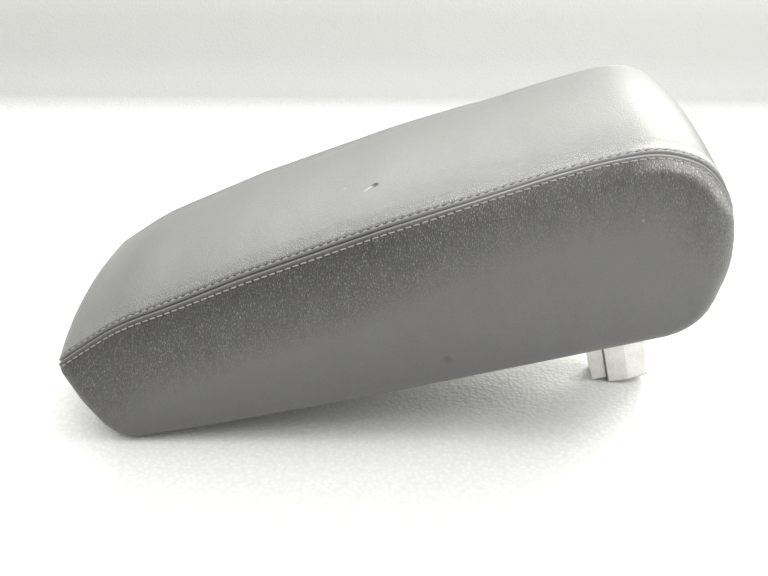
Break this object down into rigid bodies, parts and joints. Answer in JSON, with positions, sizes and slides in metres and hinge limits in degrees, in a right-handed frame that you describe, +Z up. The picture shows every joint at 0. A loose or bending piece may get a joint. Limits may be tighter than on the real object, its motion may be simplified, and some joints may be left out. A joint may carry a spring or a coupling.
{
  "type": "car centre armrest",
  "caption": "Wedge-shaped, leather-covered centre armrest with a stitched seam round its top, hinged at its thick rear end on a cast aluminium post.",
  "frame": {"origin": "middle of the post's mounting face, between its tapped holes", "axes": "+X from the thin nose to the thick hinged rear, +Y along the hinge axis, +Z up out of the mounting face; the armrest is folded down, with its underside level"},
  "size_m": [0.3515, 0.14, 0.1677],
  "materials": {
    "cast_aluminium": "raw die-cast, lightly mottled",
    "bronze": "sintered bronze, satin",
    "pressed_steel": "pressed steel with a thin grey coat",
    "zinc_steel": "zinc-plated steel, satin",
    "spring_steel": "dark phosphated spring steel",
    "friction_plastic": "natural acetal",
    "rubber": "black moulded rubber",
    "core_plastic": "black moulded plastic, matte",
    "trim_plastic": "black grained plastic, matte",
    "black_screw": "blackened steel",
    "foam": "moulded polyurethane foam, open cell",
    "leather_side": "grained dark grey leather, satin",
    "leather_top": "grained dark grey leather, satin"
  },
  "bodies": {
    "post": {"hinge_bracket": "cast_aluminium", "pin_sleeve": "bronze"},
    "armrest": {"cradle": "pressed_steel", "hinge_pin": "zinc_steel", "pin_washer": "zinc_steel", "disc_spring_1": "spring_steel", "disc_spring_2": "spring_steel", "lock_nut": "zinc_steel", "friction_washer_1": "friction_plastic", "friction_washer_2": "friction_plastic", "stop_bumper": "rubber", "fold_bumper": "rubber", "cradle_screw_1": "zinc_steel", "cradle_screw_2": "zinc_steel", "cradle_screw_3": "zinc_steel", "cradle_screw_4": "zinc_steel", "core": "core_plastic", "slot_liner": "trim_plastic", "base_cover": "trim_plastic", "cover_screw_1": "black_screw", "cover_screw_2": "black_screw", "cover_screw_3": "black_screw", "cover_screw_4": "black_screw", "foam_pad": "foam", "side_band": "leather_side", "top_panel": "leather_top"}
  },
  "joints": [
    {"name": "fold", "type": "hinge", "parent": "post", "child": "armrest", "pos_m": [0, 0, 0.086], "axis": [0, 1, 0], "range_deg": [0, 85]}
  ]
}
